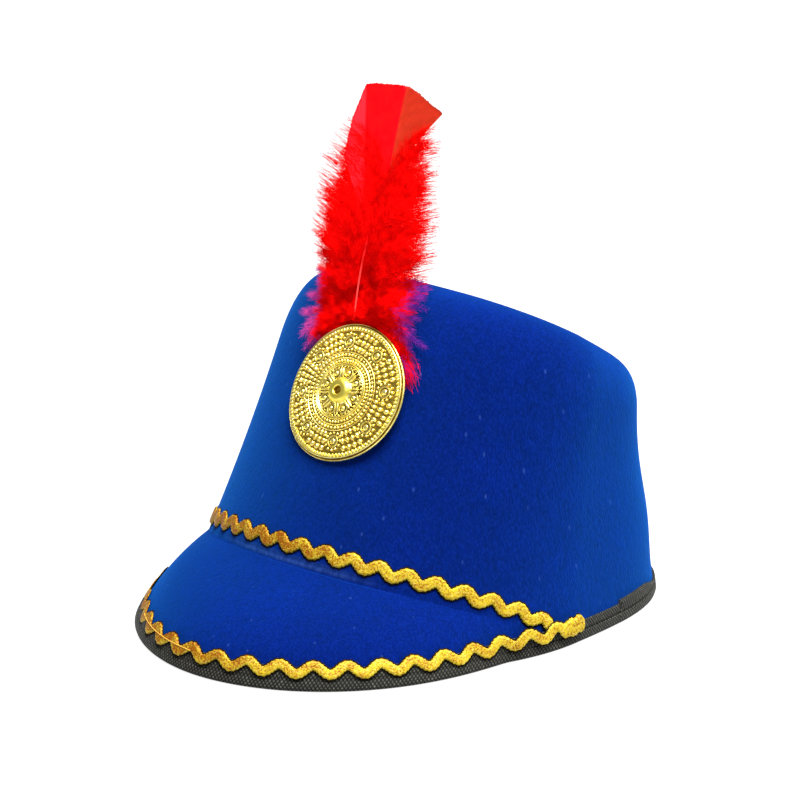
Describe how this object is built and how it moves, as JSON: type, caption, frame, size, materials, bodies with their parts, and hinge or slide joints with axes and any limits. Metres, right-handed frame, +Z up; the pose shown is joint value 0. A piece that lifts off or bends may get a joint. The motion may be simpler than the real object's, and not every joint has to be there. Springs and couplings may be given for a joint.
{
  "type": "majorette hat",
  "caption": "Moulded felt cap with a tapered crown, slanting flat top and short peak, braid trim, tape-bound edge, embossed medallion and one upright feather.",
  "frame": {"origin": "On the surface the hat rests on, under the middle of its whole length and width.", "axes": "+Z up, -Y the front that the peak points to, +X the wearer's left."},
  "size_m": [0.1881, 0.2172, 0.2085],
  "materials": {
    "felt": "royal blue moulded felt with a short nap",
    "edge_tape": "black woven tape",
    "braid": "gold metallic ric-rac braid",
    "medallion": "bright gold metallised moulding",
    "feather_vane": "dyed red closed feather barbs",
    "feather_down": "dyed red loose feather down",
    "quill": "pale stained feather shaft"
  },
  "bodies": {
    "root": {"felt_body": "felt", "edge_binding": "edge_tape", "crown_braid": "braid", "peak_braid": "braid", "medallion": "medallion", "feather_quill": "quill", "feather_vane_left": "feather_vane", "feather_vane_right": "feather_vane", "feather_down": "feather_down"}
  },
  "joints": []
}
